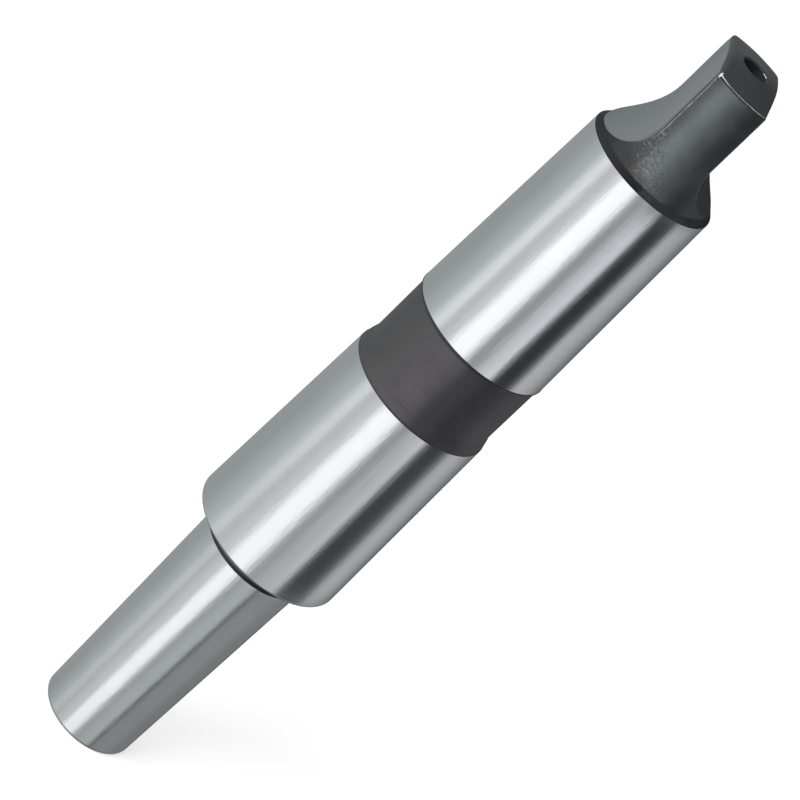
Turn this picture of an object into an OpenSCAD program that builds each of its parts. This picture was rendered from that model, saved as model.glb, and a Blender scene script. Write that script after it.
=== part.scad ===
// Drill chuck arbor, turned from one piece of steel: a ground No. 3 Morse taper shank with a
// black recessed band and a flatted tang, and a slimmer ground taper that carries the chuck.
// It stands on the end of the chuck taper, with its axis along +Z. All lengths are in millimetres.

/* [Chuck taper] */
// Length of the chuck taper, from its end face to the shoulder
chuck_len = 41.5; // [30:0.1:60]
// Diameter of the chuck taper where it would meet the shoulder
chuck_d = 17.05; // [14:0.05:19]
// Length in which the chuck taper grows by one in diameter
chuck_ratio = 20.02; // [16:0.01:30]
// Radius of the rounded edge round the end face
chuck_edge_r = 0.55; // [0.2:0.05:1]
// Length of the undercut below the shoulder
undercut_len = 2.65; // [1:0.05:4]
// Depth of the undercut below the taper's surface
undercut_depth = 0.35; // [0.1:0.05:0.8]
// Radius of the hollow where the undercut meets the shoulder
undercut_r = 0.4; // [0.1:0.05:0.8]

/* [Morse taper shank] */
// Diameter of the shank at its large end, at the shoulder
shank_d = 24.1; // [22:0.1:27]
// Length of the shank, from the shoulder to the root of the tang
shank_len = 79; // [65:0.5:95]
// Length in which the shank shrinks by one in diameter
shank_ratio = 19.922; // [16:0.001:30]
// Radius of the rounded edge round the shoulder
shoulder_edge_r = 0.5; // [0.2:0.05:1]
// Chamfer along the edges where the ground steel ends
break_edge = 0.15; // [0.05:0.05:0.3]

/* [Relief band] */
// Distance from the shoulder to the start of the band
band_start = 33.1; // [20:0.1:40]
// Length of the band
band_len = 12.6; // [9:0.1:20]
// Depth of the band below the middle of the taper that it interrupts
band_depth = 0.42; // [0.35:0.01:0.8]
// Radius of the rounded lip that leads down into the band, at the end near the shoulder
band_lip_r = 4; // [2:0.1:6]
// Radius of the hollow that leads out of the band, at the end near the tang
band_hollow_r = 0.6; // [0.3:0.05:1]
// Angle through which that hollow turns before it meets the rear edge of the band
band_hollow_turn = 60; // [40:5:90]

/* [Tang] */
// Turned diameter of the tang
tang_d = 18.6; // [17:0.1:19]
// Length of the tang, from its root to the edge of its end
tang_len = 18.1; // [16:0.1:22]
// Thickness of the tang over its two flats
tang_thick = 8.2; // [6:0.1:10]
// Length of the flats, from the edge of the end to where the hollows start
flat_len = 9.8; // [6:0.1:11]
// Radius of the hollows that lead from the flats out to the root
hollow_r = 8; // [6:0.1:9]
// Length of the short cone that steps down from the shank to the turned tang
step_len = 0.85; // [0.5:0.05:2]
// Height of the shallow crown on the end, from its edge up to the mouth of the centre hole
crown_h = 1.2; // [0.2:0.1:2]
// Radius of the rounded edge between the turned tang and its end
tang_edge_r = 0.3; // [0.1:0.05:1]

/* [Centre holes] */
// Diameter of the mouth of each centre hole
centre_d = 4; // [3:0.1:6]
// Diameter of the pilot at the bottom of each centre hole
pilot_d = 1.6; // [1:0.1:2.5]
// Depth of the whole centre hole
centre_depth = 5; // [4:0.1:8]
// Angle of the cone that a lathe centre seats in
centre_angle = 60; // [60:1:90]
// Width of the chamfer that protects the mouth
guard_w = 0.25; // [0.1:0.05:0.5]

/* [Hidden] */
$fn = 128;
steel_colour = "#b8bcbe";
black_colour = "#3c3f42";
eps = 0.01;
arc_steps = 12;

shoulder_z = chuck_len;
band_z0 = shoulder_z + band_start;
band_z1 = band_z0 + band_len;
root_z = shoulder_z + shank_len;
tang_edge_z = root_z + tang_len;
crown_z = tang_edge_z + crown_h;
flat_z = tang_edge_z - flat_len;
band_r = shank_r((band_z0 + band_z1) / 2) - band_depth;
mouth_r = centre_d / 2 + guard_w;
crown_angle = atan(crown_h / (tang_d / 2 - mouth_r));
tang_arc_z = tang_edge_z + tang_edge_r * (tan(crown_angle) - 1 / cos(crown_angle));

// Radius of the chuck taper at height z
function chuck_r(z) = chuck_d / 2 - (shoulder_z - z) / chuck_ratio / 2;

// Radius of the shank's taper at height z
function shank_r(z) = shank_d / 2 - (z - shoulder_z) / shank_ratio / 2;

// Points of an arc round [r, z], from angle a0 to a1, measured from the radial direction
function arc(r, z, radius, a0, a1) =
    [for (i = [0:arc_steps])
        let (a = a0 + (a1 - a0) * i / arc_steps)
        [r + radius * cos(a), z + radius * sin(a)]];

// Angle of the rounded lip where it reaches the bottom of the band
lip_drop = shank_r(band_z0) - break_edge - band_r;
lip_angle = acos(1 - lip_drop / band_lip_r);

// Turned outline of the chuck taper, with its rounded edge and its undercut
chuck_points = concat(
    [[0, 0]],
    arc(chuck_r(0) - chuck_edge_r, chuck_edge_r, chuck_edge_r, -90, 0),
    [[chuck_r(shoulder_z - undercut_len), shoulder_z - undercut_len]],
    [[chuck_r(shoulder_z) - undercut_depth, shoulder_z - undercut_len + undercut_depth]],
    arc(chuck_r(shoulder_z) - undercut_depth + undercut_r, shoulder_z - undercut_r, undercut_r, 180, 90),
    [[0, shoulder_z]]);

// Turned outline of the shank from the shoulder to the band
front_points = concat(
    [[0, shoulder_z]],
    arc(shank_r(shoulder_z) - shoulder_edge_r, shoulder_z + shoulder_edge_r, shoulder_edge_r, -90, 0),
    [[shank_r(band_z0 - break_edge), band_z0 - break_edge]],
    [[shank_r(band_z0) - break_edge, band_z0]],
    [[0, band_z0]]);

// Turned outline of the band: a rounded lip, a straight bottom and a hollow
band_points = concat(
    [[0, band_z0]],
    arc(shank_r(band_z0) - break_edge - band_lip_r, band_z0, band_lip_r, 0, lip_angle),
    arc(band_r + band_hollow_r, band_z1 - band_hollow_r, band_hollow_r, 180, 180 - band_hollow_turn),
    [[shank_r(band_z1) - break_edge, band_z1]],
    [[0, band_z1]]);

// Turned outline of the shank from the band to the root of the tang
rear_points = [
    [0, band_z1],
    [shank_r(band_z1) - break_edge, band_z1],
    [shank_r(band_z1 + break_edge), band_z1 + break_edge],
    [shank_r(root_z), root_z],
    [0, root_z]];

// Turned outline of the tang before its flats are milled
tang_points = concat(
    [[0, root_z]],
    [[shank_r(root_z), root_z]],
    [[tang_d / 2, root_z + step_len]],
    arc(tang_d / 2 - tang_edge_r, tang_arc_z, tang_edge_r, 0, 90 - crown_angle),
    [[mouth_r, crown_z]],
    [[0, crown_z]]);

// What is milled away on one side of the tang: a flat that ends in a hollow
module flat_cut() {
    translate([tang_thick / 2, -tang_d, flat_z])
        cube([tang_d, 2 * tang_d, flat_len + 2 * crown_h]);
    translate([tang_thick / 2 + hollow_r, 0, flat_z])
        rotate([90, 0, 0])
            cylinder(r = hollow_r, h = 2 * tang_d, center = true);
}

// One centre hole, with its mouth at the origin and its depth along +Z
module centre_hole() {
    cone_len = (centre_d - pilot_d) / 2 / tan(centre_angle / 2);
    rotate_extrude()
        polygon([
            [0, -eps],
            [mouth_r + eps, -eps],
            [centre_d / 2, guard_w],
            [pilot_d / 2, guard_w + cone_len],
            [pilot_d / 2, centre_depth - pilot_d / 2],
            [0, centre_depth]]);
}

module arbor() {
    difference() {
        union() {
            color(steel_colour) rotate_extrude() polygon(chuck_points);
            color(steel_colour) rotate_extrude() polygon(front_points);
            color(black_colour) rotate_extrude() polygon(band_points);
            color(steel_colour) rotate_extrude() polygon(rear_points);
            color(black_colour) rotate_extrude() polygon(tang_points);
        }
        flat_cut();
        mirror([1, 0, 0]) flat_cut();
        centre_hole();
        translate([0, 0, crown_z]) mirror([0, 0, 1]) centre_hole();
    }
}

arbor();
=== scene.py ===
"""Looks of the drill chuck arbor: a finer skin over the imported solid, its finishes, and a pale studio."""
import math
from collections import namedtuple

import bpy
from mathutils import Matrix, Vector


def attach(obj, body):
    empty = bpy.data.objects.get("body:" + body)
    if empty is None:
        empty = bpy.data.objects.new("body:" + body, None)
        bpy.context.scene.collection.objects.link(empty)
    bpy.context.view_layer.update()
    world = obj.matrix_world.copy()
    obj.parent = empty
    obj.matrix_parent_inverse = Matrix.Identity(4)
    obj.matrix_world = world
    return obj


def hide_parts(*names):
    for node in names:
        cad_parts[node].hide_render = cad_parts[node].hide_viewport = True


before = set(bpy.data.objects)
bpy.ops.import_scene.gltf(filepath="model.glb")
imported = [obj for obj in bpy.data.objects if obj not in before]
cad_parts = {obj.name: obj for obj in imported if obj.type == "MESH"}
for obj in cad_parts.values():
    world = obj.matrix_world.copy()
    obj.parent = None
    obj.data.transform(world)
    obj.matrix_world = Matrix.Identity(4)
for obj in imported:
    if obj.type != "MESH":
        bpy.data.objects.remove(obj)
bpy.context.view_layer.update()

# A millimetre in metres: the skin and the camera are measured in millimetres, the studio in metres
MM = 0.001

# Sizes of the arbor in millimetres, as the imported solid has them

# Chuck taper: length, diameter at the shoulder, length over which it grows by 1, and rounding of its end
CHUCK_LEN = 41.5
CHUCK_D = 17.05
CHUCK_RATIO = 20.02
CHUCK_EDGE_R = 0.55

# Undercut between the chuck taper and the shoulder
UNDERCUT_LEN = 2.65
UNDERCUT_DEPTH = 0.35
UNDERCUT_R = 0.4

# Shank: diameter at the shoulder, length, length over which it narrows by 1, and its edges
SHANK_D = 24.1
SHANK_LEN = 79.0
SHANK_RATIO = 19.922
SHOULDER_EDGE_R = 0.5
BREAK_EDGE = 0.15

# Recessed band: distance from the shoulder, length, depth, front lip, and the hollow before its rear step
BAND_START = 33.1
BAND_LEN = 12.6
BAND_DEPTH = 0.42
BAND_LIP_R = 4.0
BAND_HOLLOW_R = 0.6
BAND_HOLLOW_TURN = 60.0

# Tang: diameter, length, thickness over the flats, length of the flats and radius of their hollows, length
# of the cone at its root, height of the crown, and rounding of its end
TANG_D = 18.6
TANG_LEN = 18.1
TANG_THICK = 8.2
FLAT_LEN = 9.8
HOLLOW_R = 8.0
STEP_LEN = 0.85
CROWN_H = 1.2
TANG_EDGE_R = 0.3

# Centre holes: diameters of the cone and of the pilot, depth, angle of the cone, and the chamfer round it
CENTRE_D = 4.0
PILOT_D = 1.6
CENTRE_DEPTH = 5.0
CENTRE_ANGLE = 60.0
GUARD_W = 0.25

# Heights above the chuck end, and other values that follow from the sizes
SHOULDER_Z = CHUCK_LEN
BAND_Z0 = SHOULDER_Z + BAND_START
BAND_Z1 = BAND_Z0 + BAND_LEN
ROOT_Z = SHOULDER_Z + SHANK_LEN
TANG_EDGE_Z = ROOT_Z + TANG_LEN
CROWN_Z = TANG_EDGE_Z + CROWN_H
FLAT_Z = TANG_EDGE_Z - FLAT_LEN
FLAT_HALF = TANG_THICK / 2
MOUTH_R = CENTRE_D / 2 + GUARD_W
CROWN_SLOPE = CROWN_H / (TANG_D / 2 - MOUTH_R)
CROWN_ANGLE = math.atan(CROWN_SLOPE)
TANG_ARC_Z = TANG_EDGE_Z + TANG_EDGE_R * (CROWN_SLOPE - 1 / math.cos(CROWN_ANGLE))

# Small forms in millimetres that the skin adds to those sizes

# Blend at the foot of the band's lip
LIP_FOOT_R = 1.5

# Rounding of the tang's four long corners, and the length below its end over which each goes to its own
# radius there, in the order of turning from the right flat's front
CORNER_R = 0.3
END_CORNER_LEN = 2.5
FRONT_RIGHT, BACK_RIGHT, BACK_LEFT, FRONT_LEFT = 0.35, 1.3, 1.2, 0.3

# Slopes of the tang's end, which rises to the left and to the front
END_LEAN = 0.026, 0.022

# Rounding of the left flat's end edge, and how far in from the flat's corners it starts and is full
LEFT_EDGE_R = 0.9
LEFT_EDGE_START = 0.2
LEFT_EDGE_FADE = 4.0

# Worn lines with a painted glint on them, placed by the distance to them in millimetres that each point of
# the skin holds

# The distance where no line is near, and the extra distance on the flats' end edges, which are not worn and
# get no painted glint
FAR = 6.0
LINE_OFF_FLAT_ENDS = 1.5

# How far the worn line and painted glint of the front left corner reach onto its flat, and the length over
# which they end
FLAT_WEAR_AND_GLINT = 1.4
WEAR_AND_GLINT_FADE = 0.6

# Length over the tang's rounded end edge as a share of its radius
EDGE_TURN = 1.4

# The front left corner, worn most and with the most painted glint: share of the distances left there, and how
# near and far that reaches
CORNER_WEAR_AND_GLINT = 0.2
CORNER_WEAR_AND_GLINT_NEAR = 0.2
CORNER_WEAR_AND_GLINT_FAR = 2.0

# The direction from the axis in which the centre hole's mouth carries a painted highlight, and the cosines of
# the angles from it at which the highlight fades out
MOUTH_HIGHLIGHT_DIRECTION = 0.8, 0.6
MOUTH_HIGHLIGHT_FULL = 0.97
MOUTH_HIGHLIGHT_GONE = 0.82

# How finely the skin is made

# Faces along a flat, round a corner, on the round between two flats, and over the tang's end edge
FLAT_STEPS = 28
CORNER_STEPS = 8
ROUND_STEPS = 64
EDGE_STEPS = 12

# Places of the rings on the way from the end's edge to the centre hole's mouth
CROWN_SHARES = 0.005, 0.02, 0.06, 0.15, 0.3, 0.5, 0.7, 0.85, 0.95, 0.99, 1.0

# Share of even spacing where points lie closer together towards the ends of a stretch
EVEN_SHARE = 0.35

# Most that the rings' corners turn from one ring to the next, and longest step plainly and on the hollows
MOST_SHIFT = math.radians(2.2)
PLAIN_STEP = 4.0
HOLLOW_STEP = 0.12

# Distance of the rings that keep the ends of a run crisp, and the length of run that has room for them
SUPPORT = 0.03
SUPPORTED_LEN = 6 * SUPPORT

# A ring below the flats has the same places, so that its points line up: half the angle of the flat's
# place, the length below the hollows over which it opens to that, and the angle of a corner's place
PLAIN_HALF_ANGLE = math.radians(20)
FADE_LEN = 24.0
PLAIN_CORNER_ANGLE = math.radians(1.0)
LEAST_CORNER_ANGLE = 1e-4

# Length below the tang's end over which the rings come to follow its lean
LIFT_LEN = 2.0

# Halvings in the search for the hollows' foot, and the slack in comparing heights with it
HALVINGS = 40
SAME_HEIGHT = 1e-6

# Numbers of the finishes. The last is the tang's end edge, which takes the tang's finish or the end's
GROUND, BAND, TANG, MILLED, TANG_END, BORE, EDGE = range(7)


def clamped(value):
    return min(1.0, max(0.0, value))


def eased(value, low, high):
    """A smooth 0 to 1 as the value goes from low to high."""
    t = clamped((value - low) / (high - low))
    return t * t * (3 - 2 * t)


def spread(start, end, steps):
    """Values from start to end that lie closer together near both."""
    values = []
    for i in range(steps + 1):
        t = i / steps
        share = EVEN_SHARE * t + (1 - EVEN_SHARE) * (0.5 - 0.5 * math.cos(math.pi * t))
        values.append(start + (end - start) * share)
    return values


def arc(r, z, radius, start, end, steps=10):
    """Points of an arc round (r, z), its angles in degrees from the radial direction."""
    angles = [math.radians(start + (end - start) * i / steps) for i in range(steps + 1)]
    return [(r + radius * math.cos(a), z + radius * math.sin(a)) for a in angles]


# The turned outline

def chuck_radius(z):
    return CHUCK_D / 2 - (SHOULDER_Z - z) / CHUCK_RATIO / 2


def shank_radius(z):
    return SHANK_D / 2 - (z - SHOULDER_Z) / SHANK_RATIO / 2


def tang_radius(z):
    """Radius of the turned tang at height z, with the cone at its root."""
    share = clamped((z - ROOT_Z) / STEP_LEN)
    return shank_radius(ROOT_Z) + share * (TANG_D / 2 - shank_radius(ROOT_Z))


def centre_hole():
    """Outline of a centre hole as (radius, depth), from its bottom to its mouth."""
    cone = (CENTRE_D - PILOT_D) / 2 / math.tan(math.radians(CENTRE_ANGLE / 2))
    return [
        (PILOT_D / 2, CENTRE_DEPTH - PILOT_D / 2),
        (PILOT_D / 2, GUARD_W + cone),
        (CENTRE_D / 2, GUARD_W),
        (MOUTH_R, 0.0),
    ]


def undercut_outline():
    """Outline of the undercut: a slanted start, its floor, and a round corner up to the shoulder's face."""
    floor_r = chuck_radius(SHOULDER_Z) - UNDERCUT_DEPTH
    start_z = SHOULDER_Z - UNDERCUT_LEN
    slant = [(chuck_radius(start_z), start_z), (floor_r, start_z + UNDERCUT_DEPTH)]
    return slant + arc(floor_r + UNDERCUT_R, SHOULDER_Z - UNDERCUT_R, UNDERCUT_R, 180, 90)


def band_outline():
    """Outline of the recessed band: a rounded lip with a blend at its foot, the floor, and a hollow."""
    lip_r = shank_radius(BAND_Z0) - BREAK_EDGE
    floor_r = shank_radius((BAND_Z0 + BAND_Z1) / 2) - BAND_DEPTH
    lip_turn = math.acos(1 - (lip_r - floor_r) / (BAND_LIP_R + LIP_FOOT_R))
    lip_foot_z = BAND_Z0 + (BAND_LIP_R + LIP_FOOT_R) * math.sin(lip_turn)
    lip_angle = math.degrees(lip_turn)
    start = (shank_radius(BAND_Z0 - BREAK_EDGE), BAND_Z0 - BREAK_EDGE)
    lip = arc(lip_r - BAND_LIP_R, BAND_Z0, BAND_LIP_R, 0, lip_angle)
    foot = arc(floor_r + LIP_FOOT_R, lip_foot_z, LIP_FOOT_R, 180 + lip_angle, 180)
    hollow = arc(floor_r + BAND_HOLLOW_R, BAND_Z1 - BAND_HOLLOW_R, BAND_HOLLOW_R,
                 180, 180 - BAND_HOLLOW_TURN)
    end = (shank_radius(BAND_Z1) - BREAK_EDGE, BAND_Z1)
    return [start] + lip + foot[1:] + hollow + [end]


def turned_outline():
    """The turned outline from the chuck end up to the tang's end, as runs of (finish, points)."""
    chuck_arc = arc(chuck_radius(0) - CHUCK_EDGE_R, CHUCK_EDGE_R, CHUCK_EDGE_R, -90, 0)
    shoulder_arc = arc(shank_radius(SHOULDER_Z) - SHOULDER_EDGE_R, SHOULDER_Z + SHOULDER_EDGE_R,
                       SHOULDER_EDGE_R, -90, 0)
    undercut = undercut_outline() + [shoulder_arc[0]]
    band = band_outline()
    band_break = (shank_radius(BAND_Z1 + BREAK_EDGE), BAND_Z1 + BREAK_EDGE)
    root = (shank_radius(ROOT_Z), ROOT_Z)
    tang = [(TANG_D / 2, z) for z in (ROOT_Z + STEP_LEN, TANG_ARC_Z - LIFT_LEN, TANG_ARC_Z)]
    return [
        (BORE, centre_hole()),
        (BAND, [(MOUTH_R, 0.0), chuck_arc[0]]),
        (GROUND, chuck_arc + [undercut[0]]),
        (BAND, undercut),
        (GROUND, shoulder_arc + [band[0]]),
        (BAND, band),
        (GROUND, [band[-1], band_break, root]),
        (TANG, [root] + tang),
    ]


# Rings round the axis, with the tang's flats, hollows and corners cut into them

def flat_half(z):
    """Half the thickness that the flats and their hollows leave at height z."""
    if z >= FLAT_Z:
        return FLAT_HALF
    if z <= FLAT_Z - HOLLOW_R:
        return math.inf
    return FLAT_HALF + HOLLOW_R - math.sqrt(HOLLOW_R ** 2 - (FLAT_Z - z) ** 2)


def hollow_foot():
    """Height at which the hollows run out through the turned surface."""
    low, high = FLAT_Z - HOLLOW_R, FLAT_Z
    for _ in range(HALVINGS):
        middle = (low + high) / 2
        if flat_half(middle) < tang_radius(middle):
            high = middle
        else:
            low = middle
    return high


FOOT_Z = hollow_foot()

# A corner between a flat and the round: its angle from the flat's middle, the y of its centre, the distance
# to its border on the round, and its inner points as (x, y, distance past that border)
Corner = namedtuple("Corner", "turn y edge points")


def corner_radius(z, end_radius):
    """Radius of a corner between a flat and the round, which changes towards the tang's end."""
    share = clamped((z - TANG_ARC_Z) / END_CORNER_LEN + 1)
    return CORNER_R + (end_radius - CORNER_R) * share ** 2


def corner_turn(r, z, end_radius=BACK_RIGHT):
    """Angle from a flat's middle to where its corner meets the round, or where a plain ring divides."""
    half = flat_half(z)
    if half < r:
        radius = corner_radius(z, end_radius)
        return math.acos((half - radius) / (r - radius))
    return PLAIN_HALF_ANGLE * clamped((FOOT_Z - z) / FADE_LEN)


def corner_arc(r, z, end_radius):
    radius = corner_radius(z, end_radius)
    turn = corner_turn(r, z, end_radius)
    centre_x = flat_half(z) - radius
    centre_y = (r - radius) * math.sin(turn)
    points = []
    for step in range(1, CORNER_STEPS):
        angle = turn * step / CORNER_STEPS
        points.append((centre_x + radius * math.cos(angle), centre_y + radius * math.sin(angle),
                       radius * (angle - turn)))
    return Corner(turn, centre_y, -radius * turn, points)


def half_ring(r, z, before, after, beyond):
    """The right flat and the round beyond it, between corners with these radii at the tang's end."""
    first = corner_arc(r, z, before)
    second = corner_arc(r, z, after)
    third = corner_arc(r, z, beyond)
    last_turn = math.pi - third.turn
    points = [(flat_half(z), y, max(first.edge - first.y - y, second.edge - second.y + y))
              for y in spread(-first.y, second.y, FLAT_STEPS)]
    points += second.points
    points += [(r * math.cos(a), r * math.sin(a), r * min(a - second.turn, last_turn - a))
               for a in spread(second.turn, last_turn, ROUND_STEPS)]
    return points + [(-x, y, d) for x, y, d in reversed(third.points)]


def plain_half_ring(r, z):
    """Half a ring without flats, divided like one with them."""
    turn = corner_turn(r, z)
    corner = min(PLAIN_CORNER_ANGLE, turn + LEAST_CORNER_ANGLE)
    shares = [i / CORNER_STEPS for i in range(1, CORNER_STEPS)]
    angles = spread(-turn, turn, FLAT_STEPS)
    angles += [turn + corner * s for s in shares]
    angles += spread(turn + corner, math.pi - turn - corner, ROUND_STEPS)
    angles += [math.pi - turn - corner + corner * s for s in shares]
    return [(r * math.cos(a), r * math.sin(a), FAR) for a in angles]


def ring_points(r, z):
    """One ring of the skin as (x, y, distance past the line where a corner meets the round)."""
    if flat_half(z) < r:
        right = half_ring(r, z, FRONT_RIGHT, BACK_RIGHT, BACK_LEFT)
        left = half_ring(r, z, BACK_LEFT, FRONT_LEFT, FRONT_RIGHT)
    else:
        right = left = plain_half_ring(r, z)
    return right + [(-x, -y, d) for x, y, d in left]


def refined(points):
    """The points of a run with rings added beside its ends and where the rings' corners shift."""
    result = [points[0]]
    for (r0, z0), (r1, z1) in zip(points, points[1:]):
        length = math.hypot(r1 - r0, z1 - z0)
        shares = [0.0, 1.0]
        if length > SUPPORTED_LEN:
            shares = [0.0, SUPPORT / length, 1 - SUPPORT / length, 1.0]
        if z0 < FOOT_Z < z1:
            shares = sorted(shares + [(FOOT_Z - z0) / (z1 - z0)])
        on_hollows = FOOT_Z < max(z0, z1) and min(z0, z1) < FLAT_Z
        longest = HOLLOW_STEP if on_hollows else PLAIN_STEP
        for s0, s1 in zip(shares, shares[1:]):
            start = corner_turn(r0 + (r1 - r0) * s0, z0 + (z1 - z0) * s0)
            end = corner_turn(r0 + (r1 - r0) * s1, z0 + (z1 - z0) * s1)
            steps = max(1, math.ceil(abs(start - end) / MOST_SHIFT),
                        math.ceil((s1 - s0) * length / longest))
            for i in range(1, steps + 1):
                s = s0 + (s1 - s0) * i / steps
                result.append((r0 + (r1 - r0) * s, z0 + (z1 - z0) * s))
    return result


# The tang's end

def lean(x, y):
    """How much higher than square the end stands there: it rises a little to the front left."""
    return -x * END_LEAN[0] - y * END_LEAN[1]


def crown(x, y):
    """Height of the crown above the tang's sharp edge."""
    return (TANG_D / 2 - math.hypot(x, y)) * CROWN_SLOPE + lean(x, y)


def flat_share(x, y, edge):
    """1 on the flats, where the end's edge kept its black, and 0 on the round and at the front left corner,
    where the worn line with its painted glint lies.
    """
    start = FLAT_WEAR_AND_GLINT if x < 0 and y < 0 else 0.0
    return eased(-edge, start, start + WEAR_AND_GLINT_FADE)


def edge_radius(x, edge):
    """Radius of the tang's end edge, which is larger along the left flat and fades to its corners."""
    share = eased(-edge, LEFT_EDGE_START, LEFT_EDGE_FADE) if x < 0 else 0.0
    return TANG_EDGE_R + share * (LEFT_EDGE_R - TANG_EDGE_R)


def rim_height(x, y, edge):
    """Height at which the tang's side starts to round over into its end."""
    radius = edge_radius(x, edge)
    return TANG_EDGE_Z + crown(x, y) + radius * (CROWN_SLOPE - 1 / math.cos(CROWN_ANGLE))


def outward(ring):
    """The outward direction across the axis at each point of a ring."""
    directions = []
    for before, after in zip(ring[-1:] + ring[:-1], ring[1:] + ring[:1]):
        dx, dy = after[0] - before[0], after[1] - before[1]
        length = math.hypot(dx, dy)
        directions.append((dy / length, -dx / length))
    return directions


def off_mouth_highlight(x, y):
    """0 where the centre hole's mouth carries the painted highlight, and a length that keeps the line off
    elsewhere.
    """
    facing = (x * MOUTH_HIGHLIGHT_DIRECTION[0] + y * MOUTH_HIGHLIGHT_DIRECTION[1]) / math.hypot(x, y)
    return FAR * eased(facing, MOUTH_HIGHLIGHT_FULL, MOUTH_HIGHLIGHT_GONE)


def edge_rings(rim):
    """The rings that round the tang's side over into its end, from the ring where that starts."""
    ways = outward(rim)
    last_turn = math.pi / 2 - CROWN_ANGLE
    rings = []
    for i in range(1, EDGE_STEPS + 1):
        turn = last_turn * i / EDGE_STEPS
        ring = []
        for (x, y, edge), (nx, ny) in zip(rim, ways):
            radius = edge_radius(x, edge)
            full = radius * (1 - math.cos(last_turn))
            low = rim_height(x, y, edge)
            high = TANG_EDGE_Z + crown(x - nx * full, y - ny * full)
            inset = radius * (1 - math.cos(turn))
            rise = (high - low) * math.sin(turn) / math.sin(last_turn)
            to_line = radius * (last_turn - turn) + LINE_OFF_FLAT_ENDS * flat_share(x, y, edge)
            ring.append((x - nx * inset, y - ny * inset, low + rise, to_line))
        rings.append(ring)
    return rings


def crown_rings(rim, edge_ring):
    """The rings that cross the crown from the end's edge to the centre hole's mouth."""
    rings = []
    for share in CROWN_SHARES:
        ring = []
        for (x, y, z, _), (_, _, edge) in zip(edge_ring, rim):
            distance = math.hypot(x, y)
            keep = 1 - share + share * MOUTH_R / distance
            to_line = (1 - keep) * distance + LINE_OFF_FLAT_ENDS * flat_share(x, y, edge)
            if share == 1.0:
                to_line = GUARD_W + off_mouth_highlight(x, y)
            square = z - lean(x, y)
            height = square + share * (CROWN_Z - square) + lean(x * keep, y * keep)
            ring.append((x * keep, y * keep, height, to_line))
        rings.append(ring)
    return rings


def hole_rings(edge_ring):
    """The rings of the tang's centre hole below its mouth, each with its finish."""
    rings = []
    for r, depth in reversed(centre_hole()[:-1]):
        on_chamfer = depth == GUARD_W
        ring = []
        for x, y, _, _ in edge_ring:
            distance = math.hypot(x, y)
            to_line = off_mouth_highlight(x, y) if on_chamfer else FAR
            ring.append((r * x / distance, r * y / distance, CROWN_Z - depth, to_line))
        rings.append((TANG_END if on_chamfer else BORE, ring))
    return rings


def tang_end_rings():
    """The rings that round the tang's edge over, cross its crown and go down its centre hole."""
    rim = ring_points(TANG_D / 2, TANG_ARC_Z)
    over_edge = edge_rings(rim)
    over_crown = crown_rings(rim, over_edge[-1])
    rings = [(EDGE, ring) for ring in over_edge]
    rings += [(TANG_END, ring) for ring in over_crown]
    return rings + hole_rings(over_edge[-1])


# The skin

def skin_rings():
    """Every ring of the skin from the chuck end's centre hole to the tang's, as (finish, points)."""
    rings = []
    for finish, points in turned_outline():
        for r, z in refined(points):
            lift = clamped((z - TANG_ARC_Z + LIFT_LEN) / LIFT_LEN)
            ring = []
            for x, y, edge in ring_points(r, z):
                up = lift * (rim_height(x, y, edge) - TANG_ARC_Z)
                to_end = TANG_ARC_Z + TANG_EDGE_R * EDGE_TURN - z + LINE_OFF_FLAT_ENDS * flat_share(x, y, edge)
                ring.append((x, y, z + up, min(edge, to_end, key=abs)))
            rings.append((finish, ring))
    return rings + tang_end_rings()


def worn_and_glinting_more(x, y, z):
    """Share of the distance to a worn line with its painted glint that is left near the tang's front left
    corner.
    """
    corner_y = math.sqrt((TANG_D / 2) ** 2 - FLAT_HALF ** 2)
    corner = (-FLAT_HALF, -corner_y, TANG_EDGE_Z + lean(-FLAT_HALF, -corner_y))
    away = math.dist((x, y, z), corner)
    return CORNER_WEAR_AND_GLINT + (1 - CORNER_WEAR_AND_GLINT) * eased(away, CORNER_WEAR_AND_GLINT_NEAR, CORNER_WEAR_AND_GLINT_FAR)


def skin_points(rings):
    """The skin's points in metres and their distances to a worn line with its painted glint, with a point in
    each hole's bottom.
    """
    points = [(0.0, 0.0, CENTRE_DEPTH * MM)]
    edges = [FAR]
    for _, ring in rings:
        for x, y, z, edge in ring:
            points.append((x * MM, y * MM, z * MM))
            edges.append(max(-FAR, min(edge, FAR)) * worn_and_glinting_more(x, y, z))
    points.append((0.0, 0.0, (CROWN_Z - CENTRE_DEPTH) * MM))
    edges.append(FAR)
    return points, edges


def face_finish(finish, above_foot, place):
    """The finish of a face at a place along half a ring, where the flat comes first."""
    on_round = FLAT_STEPS + CORNER_STEPS <= place < FLAT_STEPS + CORNER_STEPS + ROUND_STEPS
    if finish == EDGE:
        return TANG if on_round else TANG_END
    if finish == TANG and above_foot and place < FLAT_STEPS:
        return MILLED
    return finish


def skin_faces(rings):
    """The faces between the rings and at the bottom of both holes, and the finish of each."""
    count = len(rings[0][1])
    faces = [(0, 1 + (i + 1) % count, 1 + i) for i in range(count)]
    face_finishes = [BORE] * count
    for k in range(len(rings) - 1):
        low = 1 + k * count
        high = low + count
        above_foot = min(z for _, _, z, _ in rings[k][1]) >= FOOT_Z - SAME_HEIGHT
        for i in range(count):
            j = (i + 1) % count
            faces.append((low + i, low + j, high + j, high + i))
            face_finishes.append(face_finish(rings[k + 1][0], above_foot, i % (count // 2)))
    last = 1 + (len(rings) - 1) * count
    top = last + count
    faces += [(last + i, last + (i + 1) % count, top) for i in range(count)]
    face_finishes += [BORE] * count
    return faces, face_finishes


def add_object(name, data):
    thing = bpy.data.objects.new(name, data)
    bpy.context.scene.collection.objects.link(thing)
    return thing


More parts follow.
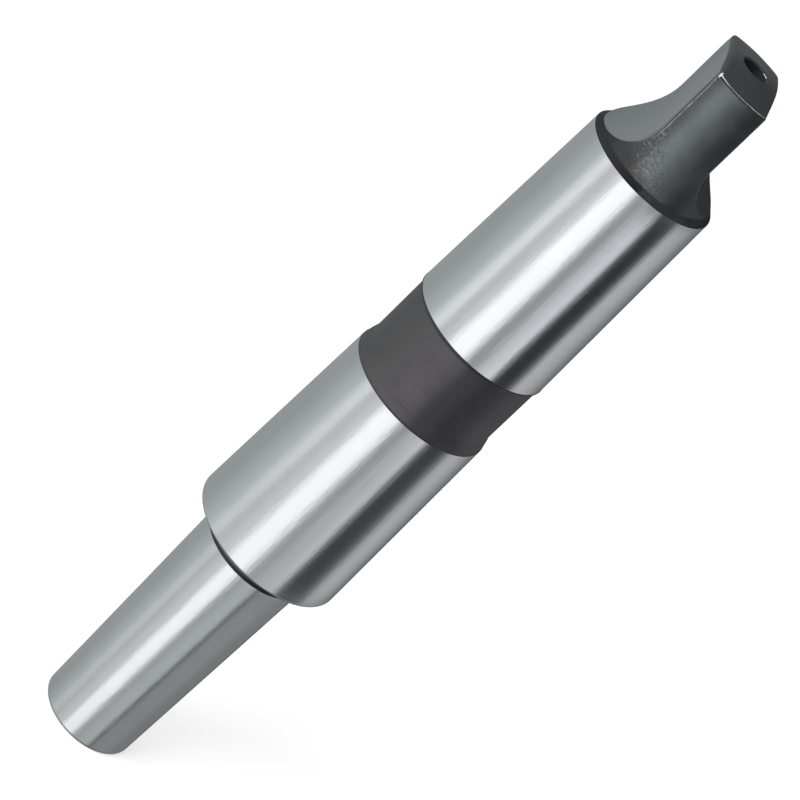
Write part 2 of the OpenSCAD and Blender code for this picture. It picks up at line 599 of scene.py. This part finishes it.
def build_skin():
    """The arbor's skin as one closed mesh, with the distance to the nearest worn line with its painted glint
    on each point.
    """
    rings = skin_rings()
    points, edges = skin_points(rings)
    faces, face_finishes = skin_faces(rings)
    mesh = bpy.data.meshes.new("arbor_skin")
    mesh.from_pydata(points, [], faces)
    mesh.attributes.new("edge_mm", "FLOAT", "POINT").data.foreach_set("value", edges)
    mesh.polygons.foreach_set("material_index", face_finishes)
    mesh.polygons.foreach_set("use_smooth", [True] * len(faces))
    mesh.update()
    return add_object("arbor_skin", mesh)


# Finishes

# Their colours as linear red, green and blue. A pair is the darker and the lighter shade of one finish
STEEL_SHADES = (0.57, 0.58, 0.59), (0.65, 0.66, 0.67)
BAND_SHADES = (0.092, 0.087, 0.090), (0.116, 0.110, 0.115)
# Painted light on the band's left and a painted dark reflection beside its middle
BAND_LEFT_PAINTED_LIGHT = (0.136, 0.131, 0.136)
BAND_MIDDLE_PAINTED_REFLECTION = (0.066, 0.062, 0.065)
TANG_SHADES = (0.106, 0.118, 0.124), (0.146, 0.161, 0.168)
# Darker near the root, reaching higher on the left
TANG_ROOT_DARK = (0.052, 0.049, 0.050)
# Painted shade along the tang's left border
TANG_BORDER_PAINTED_SHADE = (0.07, 0.07, 0.072)
TANG_SPECKS = (0.27, 0.28, 0.28)
TANG_PITS = (0.035, 0.035, 0.037)
# Painted shade on the tang's rounded corners beside the worn line
TANG_CORNERS_PAINTED_SHADE = (0.040, 0.042, 0.044)
# The worn line: bare steel with a painted glint on it
TANG_WEAR_AND_GLINT = (0.50, 0.51, 0.51)
FLAT_SHADES = (0.285, 0.302, 0.322), (0.325, 0.342, 0.362)
# Lighter towards the flats' front
FLAT_FRONT_LIGHTER = (0.400, 0.405, 0.425)
# Painted shade on the right flat and along the flats' front edges
FLAT_RIGHT_PAINTED_SHADE = (0.17, 0.176, 0.183)
FLAT_BORDER_PAINTED_SHADE = (0.075, 0.077, 0.08)
END_SHADES = (0.09, 0.099, 0.106), (0.12, 0.131, 0.139)
# The end's worn edge with a painted glint, and the painted highlight at the centre hole's mouth
END_WEAR_AND_GLINT = (0.90, 0.91, 0.90)
# The holes' black, darkened further as painted shade
BORE_BLACK_AND_PAINTED_SHADE = (0.032, 0.034, 0.036), (0.055, 0.058, 0.061)

# How metallic the black scale is, and the bright steel where it has worn through, kept less metallic so that
# it shows a painted glint
BLACK_METALLIC = 0.9
WEAR_AND_GLINT_METALLIC = 0.35

# Depth in millimetres of the turning lines in black steel
LINES_DEPTH = 0.003

# Places of the colours among the sockets of a Mix node, whose names repeat
MIX_A, MIX_B, MIX_RESULT = 6, 7, 2

Effects = namedtuple("Effects", "lines mottling wear")


def math_node(tree, operation, *values, clamp=False):
    """The outcome of an operation on numbers or sockets."""
    node = tree.nodes.new("ShaderNodeMath")
    node.operation = operation
    node.use_clamp = clamp
    for socket, value in zip(node.inputs, values):
        if isinstance(value, (int, float)):
            socket.default_value = value
        else:
            tree.links.new(value, socket)
    return node.outputs[0]


def total(tree, a, b, clamp=False):
    return math_node(tree, "ADD", a, b, clamp=clamp)


def product(tree, a, b):
    return math_node(tree, "MULTIPLY", a, b)


def centred(tree, value):
    """A value from 0 to 1 moved to lie round 0."""
    return math_node(tree, "SUBTRACT", value, 0.5)


def range_node(tree, value, low, high, out_low=0.0, out_high=1.0, smooth=True):
    """The value's way from low to high, mapped to the way from out_low to out_high and kept within it."""
    node = tree.nodes.new("ShaderNodeMapRange")
    node.interpolation_type = "SMOOTHSTEP" if smooth else "LINEAR"
    node.inputs["From Min"].default_value = low
    node.inputs["From Max"].default_value = high
    node.inputs["To Min"].default_value = out_low
    node.inputs["To Max"].default_value = out_high
    tree.links.new(value, node.inputs["Value"])
    return node.outputs["Result"]


def mix_node(tree, share, a, b):
    """Colour between a and b, each a colour triple or a socket."""
    node = tree.nodes.new("ShaderNodeMix")
    node.data_type = "RGBA"
    tree.links.new(share, node.inputs["Factor"])
    for place, value in ((MIX_A, a), (MIX_B, b)):
        if isinstance(value, tuple):
            node.inputs[place].default_value = (*value, 1)
        else:
            tree.links.new(value, node.inputs[place])
    return node.outputs[MIX_RESULT]


def object_point(tree, across=1.0, along=1.0):
    """The surface point in millimetres, scaled across the axis and along it, for a texture."""
    coords = tree.nodes.new("ShaderNodeTexCoord")
    scale = tree.nodes.new("ShaderNodeVectorMath")
    scale.operation = "MULTIPLY"
    tree.links.new(coords.outputs["Object"], scale.inputs[0])
    scale.inputs[1].default_value = (across / MM, across / MM, along / MM)
    return scale.outputs[0]


def surface_place(tree):
    """The surface point's x, y and z in millimetres, as three sockets."""
    place = tree.nodes.new("ShaderNodeSeparateXYZ")
    tree.links.new(object_point(tree), place.inputs[0])
    return place.outputs


def noise_node(tree, vector, scale=1.0, detail=2.0, roughness=0.5):
    node = tree.nodes.new("ShaderNodeTexNoise")
    node.inputs["Scale"].default_value = scale
    node.inputs["Detail"].default_value = detail
    node.inputs["Roughness"].default_value = roughness
    tree.links.new(vector, node.inputs["Vector"])
    return node.outputs["Fac"]


def new_group(name, inputs, outputs):
    """A shader node group with these inputs (name, value) and outputs, and its sockets on the inside."""
    group = bpy.data.node_groups.new(name, "ShaderNodeTree")
    for label, value in inputs:
        socket = group.interface.new_socket(label, in_out="INPUT", socket_type="NodeSocketFloat")
        socket.default_value = value
    for label in outputs:
        group.interface.new_socket(label, in_out="OUTPUT", socket_type="NodeSocketFloat")
    given = group.nodes.new("NodeGroupInput").outputs
    wanted = group.nodes.new("NodeGroupOutput").inputs
    return group, given, wanted


def make_turning_lines():
    """Fine lines round the axis, as a wheel or a turning tool leaves them."""
    group, given, wanted = new_group("turning_lines", [("Fine", 1.0), ("Broad", 1.0)], ["Height"])
    fine = noise_node(group, object_point(group, across=0.06, along=9.0), detail=3.0, roughness=0.65)
    broad = noise_node(group, object_point(group, across=0.03, along=1.6))
    fine = product(group, centred(group, fine), given["Fine"])
    broad = product(group, centred(group, broad), given["Broad"])
    height = total(group, total(group, fine, broad), 0.5, clamp=True)
    group.links.new(height, wanted["Height"])
    return group


def make_mottling():
    """Slow patches of lighter and darker skin, with a fine grain in them."""
    group, given, wanted = new_group("mottling", [("Patch size", 4.0), ("Grain", 0.3)], ["Value"])
    point = object_point(group)
    shrink = group.nodes.new("ShaderNodeVectorMath")
    shrink.operation = "SCALE"
    group.links.new(point, shrink.inputs[0])
    group.links.new(math_node(group, "DIVIDE", 1.0, given["Patch size"]), shrink.inputs["Scale"])
    patches = noise_node(group, shrink.outputs[0], detail=3.0)
    grain = noise_node(group, point, scale=5.0, roughness=0.7)
    extra = product(group, centred(group, grain), given["Grain"])
    group.links.new(total(group, patches, extra, clamp=True), wanted["Value"])
    return group


def make_edge_wear_and_glint():
    """Masks of the tang's edges: where the black has worn off, with a painted glint on the bare steel, and
    the painted shade on the corner beside it.
    """
    inputs = [("Width", 0.15), ("Broken", 0.5), ("Shift", 0.0)]
    group, given, wanted = new_group("edge_wear_and_glint", inputs, ["Mask", "Corner"])
    attribute = group.nodes.new("ShaderNodeAttribute")
    attribute.attribute_name = "edge_mm"
    distance = attribute.outputs["Fac"]
    ragged = noise_node(group, object_point(group), scale=1.1, detail=5.0, roughness=0.8)
    ragged = product(group, centred(group, ragged), given["Broken"])
    width = product(group, total(group, ragged, 1.0), given["Width"])
    width = math_node(group, "MAXIMUM", width, 0.004)
    beside = math_node(group, "ABSOLUTE", total(group, distance, given["Shift"]))
    share = math_node(group, "DIVIDE", beside, width)
    group.links.new(range_node(group, share, 0.35, 1.0, 1.0, 0.0), wanted["Mask"])
    # The Corner output is painted shade on the rounded corner beside the line
    group.links.new(range_node(group, distance, -0.12, -0.02, 1.0, 0.0), wanted["Corner"])
    return group


def place_group(tree, group, **values):
    """Adds a group with values for its inputs, where _ stands for a space, and gives its outputs."""
    node = tree.nodes.new("ShaderNodeGroup")
    node.node_tree = group
    for name, value in values.items():
        node.inputs[name.replace("_", " ")].default_value = value
    return node.outputs


def new_material(name, metallic, roughness, anisotropic=0.0):
    """A material with its tree and shader, with gloss stretched by lines round the axis if asked for."""
    material = bpy.data.materials.new(name)
    material.use_nodes = True
    tree = material.node_tree
    shader = tree.nodes["Principled BSDF"]
    shader.inputs["Metallic"].default_value = metallic
    shader.inputs["Roughness"].default_value = roughness
    shader.inputs["Anisotropic"].default_value = anisotropic
    if anisotropic:
        shader.inputs["Anisotropic Rotation"].default_value = 0.25
        tangent = tree.nodes.new("ShaderNodeTangent")
        tangent.direction_type = "RADIAL"
        tangent.axis = "Z"
        tree.links.new(tangent.outputs[0], shader.inputs["Tangent"])
    return material, tree, shader


def coloured_parts(material):
    """A material's tree and shader, and the colour that it has so far."""
    tree = material.node_tree
    shader = tree.nodes["Principled BSDF"]
    return tree, shader, shader.inputs["Base Color"].links[0].from_socket


def vary_roughness(tree, shader, pattern, mean, swing):
    """Lets the roughness go a little below and above its mean with a pattern."""
    roughness = range_node(tree, pattern, 0.2, 0.8, mean - swing, mean + swing)
    tree.links.new(roughness, shader.inputs["Roughness"])


def add_bump(tree, shader, height, distance):
    """Raises the surface by a height pattern, over a distance in millimetres."""
    bump = tree.nodes.new("ShaderNodeBump")
    bump.inputs["Distance"].default_value = distance * MM
    tree.links.new(height, bump.inputs["Height"])
    tree.links.new(bump.outputs["Normal"], shader.inputs["Normal"])


def ground_steel(effects):
    """Bright ground steel: fine lines round the axis over a slight waviness and faint streaks."""
    roughness = 0.21
    material, tree, shader = new_material("ground_steel", 1.0, roughness, anisotropic=0.7)
    lines = place_group(tree, effects.lines, Fine=1.0, Broad=0.25)["Height"]
    patches = place_group(tree, effects.mottling, Patch_size=6.0, Grain=0.3)["Value"]
    shade = total(tree, product(tree, lines, 0.25), product(tree, patches, 0.75))
    tree.links.new(mix_node(tree, shade, *STEEL_SHADES), shader.inputs["Base Color"])
    vary_roughness(tree, shader, lines, roughness, 0.03)
    wave = noise_node(tree, object_point(tree, across=0.55, along=1.1), detail=4.0, roughness=0.7)
    streaks = noise_node(tree, object_point(tree, across=1.8, along=0.22), detail=3.0, roughness=0.6)
    rise = total(tree, wave, product(tree, streaks, 1.3))
    rise = total(tree, rise, product(tree, lines, 0.025))
    add_bump(tree, shader, rise, 0.012)
    return material


def black_steel(name, shades, roughness, effects, patch=3.0):
    """Steel left black from hardening, mottled between two shades."""
    material, tree, shader = new_material(name, BLACK_METALLIC, roughness)
    lines = place_group(tree, effects.lines, Fine=0.8, Broad=1.0)["Height"]
    patches = place_group(tree, effects.mottling, Patch_size=patch, Grain=0.5)["Value"]
    colour = mix_node(tree, range_node(tree, patches, 0.25, 0.75), *shades)
    tree.links.new(colour, shader.inputs["Base Color"])
    vary_roughness(tree, shader, patches, roughness, 0.04)
    add_bump(tree, shader, lines, LINES_DEPTH)
    return material


def paint_wear_and_glint(material, wear, width, bright, corner_painted_shade=None, fade=None, shift=0.0):
    """Lays the worn bright line with its painted glint, and the painted shade on the corner beside it, over a
    finish's colour.
    """
    tree, shader, colour = coloured_parts(material)
    masks = place_group(tree, wear, Width=width, Broken=4.0, Shift=shift)
    # Painted shade on the rounded corner beside the line
    if corner_painted_shade:
        colour = mix_node(tree, masks["Corner"], colour, corner_painted_shade)
    # The worn bright line: bare steel with a painted glint
    worn = product(tree, masks["Mask"], fade) if fade else masks["Mask"]
    tree.links.new(mix_node(tree, worn, colour, bright), shader.inputs["Base Color"])
    metallic = range_node(tree, worn, 0.0, 1.0, BLACK_METALLIC, WEAR_AND_GLINT_METALLIC, smooth=False)
    tree.links.new(metallic, shader.inputs["Metallic"])


def scuffed_tang_with_painted_shade(effects):
    """The turned tang: black, darker near the root, with broken turning marks beside the left hollow and
    painted shade along its left border and corners.
    """
    roughness = 0.4
    material, tree, shader = new_material("black_tang", BLACK_METALLIC, roughness)
    shader.inputs["Specular Tint"].default_value = (0.6, 0.6, 0.6, 1)
    marks = noise_node(tree, object_point(tree, across=1.5, along=5.0), detail=4.0, roughness=0.85)
    patches = place_group(tree, effects.mottling, Patch_size=3.5, Grain=0.5)["Value"]
    lines = place_group(tree, effects.lines, Fine=0.6, Broad=0.6)["Height"]

    # The height above the root, and with it the height along a ragged slanted line
    x, _, z = surface_place(tree)
    height = math_node(tree, "SUBTRACT", z, ROOT_Z)
    side = total(tree, x, product(tree, centred(tree, patches), 6.0))
    slanted = total(tree, height, product(tree, side, 0.9))

    # Where the darker part near the root, the broken marks and the painted shade along the left border are
    scale = product(tree, range_node(tree, slanted, 2.0, -2.0), range_node(tree, height, 8.0, 2.0))
    rough_part = product(tree, range_node(tree, slanted, -1.5, 0.5), range_node(tree, slanted, 7.5, 3.5))
    rough_part = product(tree, rough_part, range_node(tree, side, 3.0, 0.0))
    specks = product(tree, range_node(tree, marks, 0.54, 0.62), rough_part)
    pits = product(tree, range_node(tree, marks, 0.46, 0.37), rough_part)
    # Painted shade along the left border, where the round turns towards the corner
    border = range_node(tree, x, -2.2, -3.8, 0.0, 0.6)

    colour = mix_node(tree, range_node(tree, patches, 0.25, 0.75), *TANG_SHADES)
    colour = mix_node(tree, product(tree, scale, 0.9), colour, TANG_ROOT_DARK)
    colour = mix_node(tree, border, colour, TANG_BORDER_PAINTED_SHADE)
    colour = mix_node(tree, product(tree, specks, 0.75), colour, TANG_SPECKS)
    colour = mix_node(tree, product(tree, pits, 0.7), colour, TANG_PITS)
    tree.links.new(colour, shader.inputs["Base Color"])
    vary_roughness(tree, shader, patches, roughness, 0.04)
    marks_depth = range_node(tree, rough_part, 0.0, 1.0, 0.06, 1.0, smooth=False)
    rise = total(tree, product(tree, marks, marks_depth), product(tree, lines, 0.15))
    add_bump(tree, shader, rise, 0.022)

    # The worn line and its painted glint are faint low down and on the left, and clear near the end and on
    # the right
    upper = range_node(tree, height, 5.0, 8.0, 0.3, 0.85)
    right = range_node(tree, x, 2.0, 4.0, 0.0, 0.6)
    clear = math_node(tree, "MAXIMUM", upper, right)
    paint_wear_and_glint(material, effects.wear, 0.065, TANG_WEAR_AND_GLINT, TANG_CORNERS_PAINTED_SHADE, fade=clear, shift=0.12)
    return material


def milled_flats(effects):
    """The milled flats: a lighter grey that grows lighter towards the front, with painted shade on the right
    one and along the front edges.
    """
    material = black_steel("milled_flats", FLAT_SHADES, 0.42, effects, patch=5.0)
    tree, shader, colour = coloured_parts(material)
    x, y, z = surface_place(tree)
    # Lighter towards the front
    towards_front = range_node(tree, y, 7.0, -8.0, smooth=False)
    colour = mix_node(tree, towards_front, colour, FLAT_FRONT_LIGHTER)
    # Painted shade on the right flat, which faces away from the light
    on_right = range_node(tree, x, -1.0, 1.0)
    colour = mix_node(tree, on_right, colour, FLAT_RIGHT_PAINTED_SHADE)
    # Painted shade along the flats' front edges
    border = product(tree, range_node(tree, y, -5.8, -7.2, 0.0, 0.85),
                     range_node(tree, z, ROOT_Z + 2.5, ROOT_Z + 10.0))
    colour = mix_node(tree, border, colour, FLAT_BORDER_PAINTED_SHADE)
    tree.links.new(colour, shader.inputs["Base Color"])
    return material


def black_band(effects):
    """The recessed band: black from hardening, with painted light on the left and a painted dark reflection
    beside its middle.
    """
    material = black_steel("black_band", BAND_SHADES, 0.52, effects)
    tree, shader, colour = coloured_parts(material)
    x, _, _ = surface_place(tree)
    # Painted light on the left
    lighter = range_node(tree, x, -2.5, -10.5, smooth=False)
    colour = mix_node(tree, lighter, colour, BAND_LEFT_PAINTED_LIGHT)
    # A painted dark reflection beside the middle
    darker = product(tree, range_node(tree, x, -0.9, 0.9), range_node(tree, x, 5.6, 3.6))
    colour = mix_node(tree, product(tree, darker, 0.9), colour, BAND_MIDDLE_PAINTED_REFLECTION)
    tree.links.new(colour, shader.inputs["Base Color"])
    return material


def end_with_wear_and_painted_highlights(effects):
    """The tang's end: black, with its edge worn bright under a painted glint, and a painted highlight on one
    side of the centre hole's mouth.
    """
    material = black_steel("tang_end", END_SHADES, 0.45, effects)
    paint_wear_and_glint(material, effects.wear, 0.13, END_WEAR_AND_GLINT)
    return material


def finishes():
    """The materials in the order of the finish numbers on the skin's faces."""
    effects = Effects(make_turning_lines(), make_mottling(), make_edge_wear_and_glint())
    return [
        ground_steel(effects),
        black_band(effects),
        scuffed_tang_with_painted_shade(effects),
        milled_flats(effects),
        end_with_wear_and_painted_highlights(effects),
        # The holes' black, darkened further as painted shade
        black_steel("centre_bore_painted_shade", BORE_BLACK_AND_PAINTED_SHADE, 0.35, effects),
    ]


# The view of the photograph

# The camera's place in degrees, to the left of the arbor's front and above the floor, and its roll
CAMERA_AZIMUTH = 9.17
CAMERA_ELEVATION = 26.281
CAMERA_ROLL = -46.092

# In millimetres: its distance, the height on the axis that it looks at, its lens and its sensor
CAMERA_DISTANCE = 477.9
AIM_Z = 72.57
LENS = 159.19
SENSOR = 36

# How far the arbor stands off the frame's middle, and the frame's width
SHIFT_PIXELS = 13.4
FRAME_PIXELS = 800

# The nearest that the camera sees, in metres
CLIP_START = 0.01


def add_camera():
    camera = add_object("camera", bpy.data.cameras.new("camera"))
    azimuth, elevation = math.radians(CAMERA_AZIMUTH), math.radians(CAMERA_ELEVATION)
    roll = math.radians(CAMERA_ROLL)
    back = Vector((-math.sin(azimuth) * math.cos(elevation), -math.cos(azimuth) * math.cos(elevation),
                   math.sin(elevation)))
    level = Vector((math.cos(azimuth), -math.sin(azimuth), 0))
    upright = back.cross(level)
    right = level * math.cos(roll) - upright * math.sin(roll)
    up = level * math.sin(roll) + upright * math.cos(roll)
    turn = Matrix((right, up, back)).transposed().to_4x4()
    place = Vector((0, 0, AIM_Z)) + back * CAMERA_DISTANCE
    camera.matrix_world = Matrix.Translation(place * MM) @ turn
    camera.data.lens = LENS
    camera.data.sensor_width = SENSOR
    camera.data.shift_x = -SHIFT_PIXELS / FRAME_PIXELS
    camera.data.clip_start = CLIP_START
    bpy.context.scene.camera = camera


# The studio: a pale floor, a soft lamp, and panels round the arbor that only its gloss sees

# Radii and heights are in metres, angles in degrees to the right of the camera. Gloss doesn't see the
# floor, so the wall goes on below it and closes there

# Tints of the light from the left, from the middle and from the right, also low down, and of the card
LEFT_TINT, MIDDLE_TINT, RIGHT_TINT = (0.925, 1.0, 0.98), (0.987, 0.984, 1.0), (0.95, 0.985, 0.99)
LOW_MIDDLE_TINT, LOW_RIGHT_TINT = (0.99, 1.0, 0.992), (0.94, 1.0, 0.98)
CARD_TINT = (0.95, 0.962, 1.0)

# Heights between which those two low tints come in, and the angle at which the tints of both sides meet
TINT_LOW, TINT_HIGH = 0.115, 0.145
TINT_MIDDLE = -6

# The wall's brightness: angle and level
WASH = [
    (-180, 0.34), (-145, 0.43), (-110, 0.49), (-75, 0.69), (-30, 0.74), (0, 0.66), (30, 0.60), (47, 0.63),
    (64, 0.38), (95, 0.38), (125, 0.27), (140, 0.28), (152, 0.22), (163, 0.14), (172, 0.17), (180, 0.34),
]

# Soft boxes and dark strips on that wash: angle, half width, soft edge, and gain low down and higher up
STRIPS = [
    (-5.5, 8, 13, 0.78, 0.96),
    (-20, 1, 9, 0.04, 0.12),
    (-32, 0, 12, 0.09, 0.14),
    (-62, 3, 10, 0.14, 0.16),
    (-50, 2, 8, -0.06, 0.20),
    (20, 2, 9, -0.12, -0.18),
    (37, 2, 8, -0.02, 0.16),
    (58, 1, 5, -0.36, -0.32),
]
STRIP_LOW, STRIP_HIGH = -0.14, -0.07

# The heights of the wall's rings, and how many degrees further right the strips stand at each
STRIP_LEAN = [
    (-0.22, -1.5), (-0.14, 0.0), (-0.12, 3.0), (-0.105, -0.6), (-0.09, -2.8), (-0.07, -0.6), (0.25, 0.0),
]

# More strips beside the shank's rear part, with one gain, and the heights between which they come in
REAR_STRIPS = [(-56, 4, 9, 0.26), (-24, 2, 8, 0.11)]
REAR_LOW, REAR_HIGH = -0.1, -0.085

# How much brighter the wall's front is beside the chuck taper, and the height below which strips end
CHUCK_GAIN = 0.1
STRIPS_END = -0.25

# Brightness of a flag with its bounce card close beside the shank, of a flag beside the tang, and of the
# hood over the wall
SIDE_CARD = [
    (28, 0.62), (36, 0.72), (43, 0.84), (49, 0.23), (54, 0.07), (69, 0.08), (79, 0.17), (87, 0.54),
    (97, 0.64), (110, 0.50), (128, 0.26),
]
TANG_FLAG = [(24, 0.50), (33, 0.12), (48, 0.08), (62, 0.17), (80, 0.13), (100, 0.08), (165, 0.06)]
HOOD = [(-180, 0.30), (-140, 0.42), (-90, 0.55), (-40, 0.30), (0, 0.14), (60, 0.10), (150, 0.10), (180, 0.30)]

# The side card's gains beside the shank's rear part, and the angle at which its bounce card meets its flag
CARD_GAIN = 0.28
FLAG_LOSS = 0.4
FAR_STRIP_GAIN = 0.14
CARD_MEETS_FLAG = 46

# The panels' radii and heights
WALL_R = 0.35
WALL_FOOT = [(0.01, -0.55), (WALL_R, -0.5)]
HOOD_RINGS = [(WALL_R, 0.25), (0.25, 0.45), (0.01, 0.52)]
CARD_R = 0.03
CARD_HEIGHTS = 0.0305, 0.043, 0.049, 0.055, 0.063, 0.068, 0.073, 0.078, 0.085, 0.1, 0.113
FLAG_HEIGHTS = 0.113, 0.15

# The soft lamp: width, power in watts, place, and the height on the axis that it looks at
LAMP_SIZE = 0.5
LAMP_POWER = 6.0
LAMP_PLACE = Vector((-0.5, -0.5, 0.7))
LAMP_AIM_Z = 0.07

# The floor: half its width, its grey, and the light that it adds to be near white in the picture
FLOOR_HALF = 3.0
FLOOR_GREY = 0.6
FLOOR_GLOW = 0.5

# Strength of the white world as a light, and as it is seen
WORLD_LIGHT = 0.75
WORLD_SEEN = 1.0


def level_at(table, place):
    """The level at a place in a table of (place, level), straight between its rows and level past them."""
    place = min(table[-1][0], max(table[0][0], place))
    for (p0, v0), (p1, v1) in zip(table, table[1:]):
        if place <= p1:
            return v0 + (v1 - v0) * (place - p0) / (p1 - p0)


def strip_share(angle, centre, half, soft):
    """1 within half a strip's width of its centre, and 0 past its soft edge."""
    return 1 - eased(abs(angle - centre), half, half + soft)


def wall_level(angle, z):
    """The wall's level, which fades far below what the upright surfaces see, most on the right."""
    level = level_at(WASH, angle)
    if z < STRIPS_END:
        return level * (0.5 - 0.15 * eased(angle, 20, 90))
    shifted = angle - level_at(STRIP_LEAN, z)
    for centre, half, soft, low, high in STRIPS:
        gain = low + (high - low) * eased(z, STRIP_LOW, STRIP_HIGH)
        level += gain * strip_share(shifted, centre, half, soft)
    for centre, half, soft, gain in REAR_STRIPS:
        level += gain * eased(z, REAR_LOW, REAR_HIGH) * strip_share(angle, centre, half, soft)
    return level * (1 + CHUCK_GAIN * eased(-z, 0.13, 0.15) * eased(-abs(angle), -70, -40))


def hood_level(angle, _):
    return level_at(HOOD, angle)


def card_level(angle, z):
    """The side card, brighter and with a darker flag beside the shank's rear part."""
    rear = eased(z, 0.058, 0.078)

    # Higher up, the flag's right edge stands 2.5 degrees further in, and its left edge 1.5 degrees
    narrowed = angle + 2.5 * eased(z, 0.043, 0.055) * eased(angle, 62, 76)
    narrowed -= 1.5 * eased(z, 0.085, 0.1) * eased(-angle, -62, -50)
    level = level_at(SIDE_CARD, narrowed)
    if angle < CARD_MEETS_FLAG:
        level *= 1 + CARD_GAIN * rear
    else:
        level *= 1 - FLAG_LOSS * rear * eased(angle, 48, 54) * eased(-angle, -76, -68)
    return level + rear * FAR_STRIP_GAIN * strip_share(angle, 83, 4, 5)


def flag_level(angle, _):
    return level_at(TANG_FLAG, angle)


def mixed(first, second, share):
    return [a + (b - a) * share for a, b in zip(first, second)]


def tint_at(angle, z):
    """Tint of the light: greenish from far left, near white in the middle, and less blue low down."""
    low = eased(-z, TINT_LOW, TINT_HIGH)
    middle = mixed(MIDDLE_TINT, LOW_MIDDLE_TINT, low)
    if angle < TINT_MIDDLE:
        return mixed(middle, LEFT_TINT, eased(-angle, 30, 85))
    return mixed(middle, mixed(RIGHT_TINT, LOW_RIGHT_TINT, low), eased(angle, TINT_MIDDLE, 25))


def card_tint(*_):
    return CARD_TINT


def panel_material():
    """Light of the colour that each point of a panel holds."""
    material = bpy.data.materials.new("studio_panel")
    material.use_nodes = True
    tree = material.node_tree
    tree.nodes.clear()
    level = tree.nodes.new("ShaderNodeAttribute")
    level.attribute_name = "glow"
    glow = tree.nodes.new("ShaderNodeEmission")
    out = tree.nodes.new("ShaderNodeOutputMaterial")
    tree.links.new(level.outputs["Color"], glow.inputs["Color"])
    tree.links.new(glow.outputs[0], out.inputs["Surface"])
    return material


def add_panel(name, rings, table, level, tint, material):
    """A curved panel through rings (radius, z) over a table's angles, seen by glossy reflections alone."""
    verts, faces, glow = [], [], []
    start, end = table[0][0], table[-1][0]
    steps = int(end - start)
    for i in range(steps + 1):
        angle = start + (end - start) * i / steps
        direction = math.radians(-90 - CAMERA_AZIMUTH + angle)
        for radius, z in rings:
            verts.append((radius * math.cos(direction), radius * math.sin(direction), z))
            glow += [level(angle, z) * channel for channel in tint(angle, z)] + [1.0]
    for i in range(steps):
        for k in range(len(rings) - 1):
            low = i * len(rings) + k
            high = low + len(rings)
            faces.append((low, high, high + 1, low + 1))
    mesh = bpy.data.meshes.new(name)
    mesh.from_pydata(verts, [], faces)
    mesh.attributes.new("glow", "FLOAT_COLOR", "POINT").data.foreach_set("color", glow)
    mesh.materials.append(material)
    panel = add_object(name, mesh)
    for kind in ("camera", "diffuse", "transmission", "shadow", "volume_scatter"):
        setattr(panel, f"visible_{kind}", False)


def add_panels():
    material = panel_material()
    wall = WALL_FOOT + [(WALL_R, z) for z, _ in STRIP_LEAN]
    card = [(CARD_R, z) for z in CARD_HEIGHTS]
    flag = [(CARD_R, z) for z in FLAG_HEIGHTS]
    add_panel("studio_wall", wall, WASH, wall_level, tint_at, material)
    add_panel("studio_hood", HOOD_RINGS, HOOD, hood_level, tint_at, material)
    add_panel("side_card", card, SIDE_CARD, card_level, card_tint, material)
    add_panel("tang_flag", flag, TANG_FLAG, flag_level, card_tint, material)


def seen_plainly(tree):
    """1 for rays from the camera, from gloss and through glass, and 0 for those that light dull surfaces."""
    path = tree.nodes.new("ShaderNodeLightPath")
    mirrored = math_node(tree, "MAXIMUM", path.outputs["Is Glossy Ray"], path.outputs["Is Transmission Ray"])
    return math_node(tree, "MAXIMUM", path.outputs["Is Camera Ray"], mirrored)


def floor_material():
    material = bpy.data.materials.new("studio_floor")
    material.use_nodes = True
    tree = material.node_tree
    shader = tree.nodes["Principled BSDF"]
    shader.inputs["Base Color"].default_value = (FLOOR_GREY, FLOOR_GREY, FLOOR_GREY, 1)
    shader.inputs["Roughness"].default_value = 0.9
    shader.inputs["Specular IOR Level"].default_value = 0.0
    shader.inputs["Emission Color"].default_value = (1, 1, 1, 1)
    tree.links.new(product(tree, seen_plainly(tree), FLOOR_GLOW), shader.inputs["Emission Strength"])
    return material


def add_floor():
    corners = [(x * FLOOR_HALF, y * FLOOR_HALF, 0) for x, y in ((-1, -1), (1, -1), (1, 1), (-1, 1))]
    mesh = bpy.data.meshes.new("studio_floor")
    mesh.from_pydata(corners, [], [(0, 1, 2, 3)])
    mesh.materials.append(floor_material())
    floor = add_object("studio_floor", mesh)
    floor.visible_glossy = False


def add_world():
    world = bpy.data.worlds.new("studio_world")
    bpy.context.scene.world = world
    world.use_nodes = True
    tree = world.node_tree
    back = tree.nodes["Background"]
    back.inputs["Color"].default_value = (1, 1, 1, 1)
    strength = range_node(tree, seen_plainly(tree), 0.0, 1.0, WORLD_LIGHT, WORLD_SEEN, smooth=False)
    tree.links.new(strength, back.inputs["Strength"])


def add_lamp():
    lamp = bpy.data.lights.new("soft_lamp", "AREA")
    lamp.size = LAMP_SIZE
    lamp.energy = LAMP_POWER
    holder = add_object("soft_lamp", lamp)
    aim = (LAMP_PLACE - Vector((0, 0, LAMP_AIM_Z))).to_track_quat("Z", "Y")
    holder.matrix_world = Matrix.Translation(LAMP_PLACE) @ aim.to_matrix().to_4x4()
    holder.visible_glossy = False


skin = build_skin()
for finish in finishes():
    skin.data.materials.append(finish)
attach(skin, "root")
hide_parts("arbor")

add_panels()
add_floor()
add_world()
add_lamp()
add_camera()
bpy.context.scene.view_settings.view_transform = "Standard"
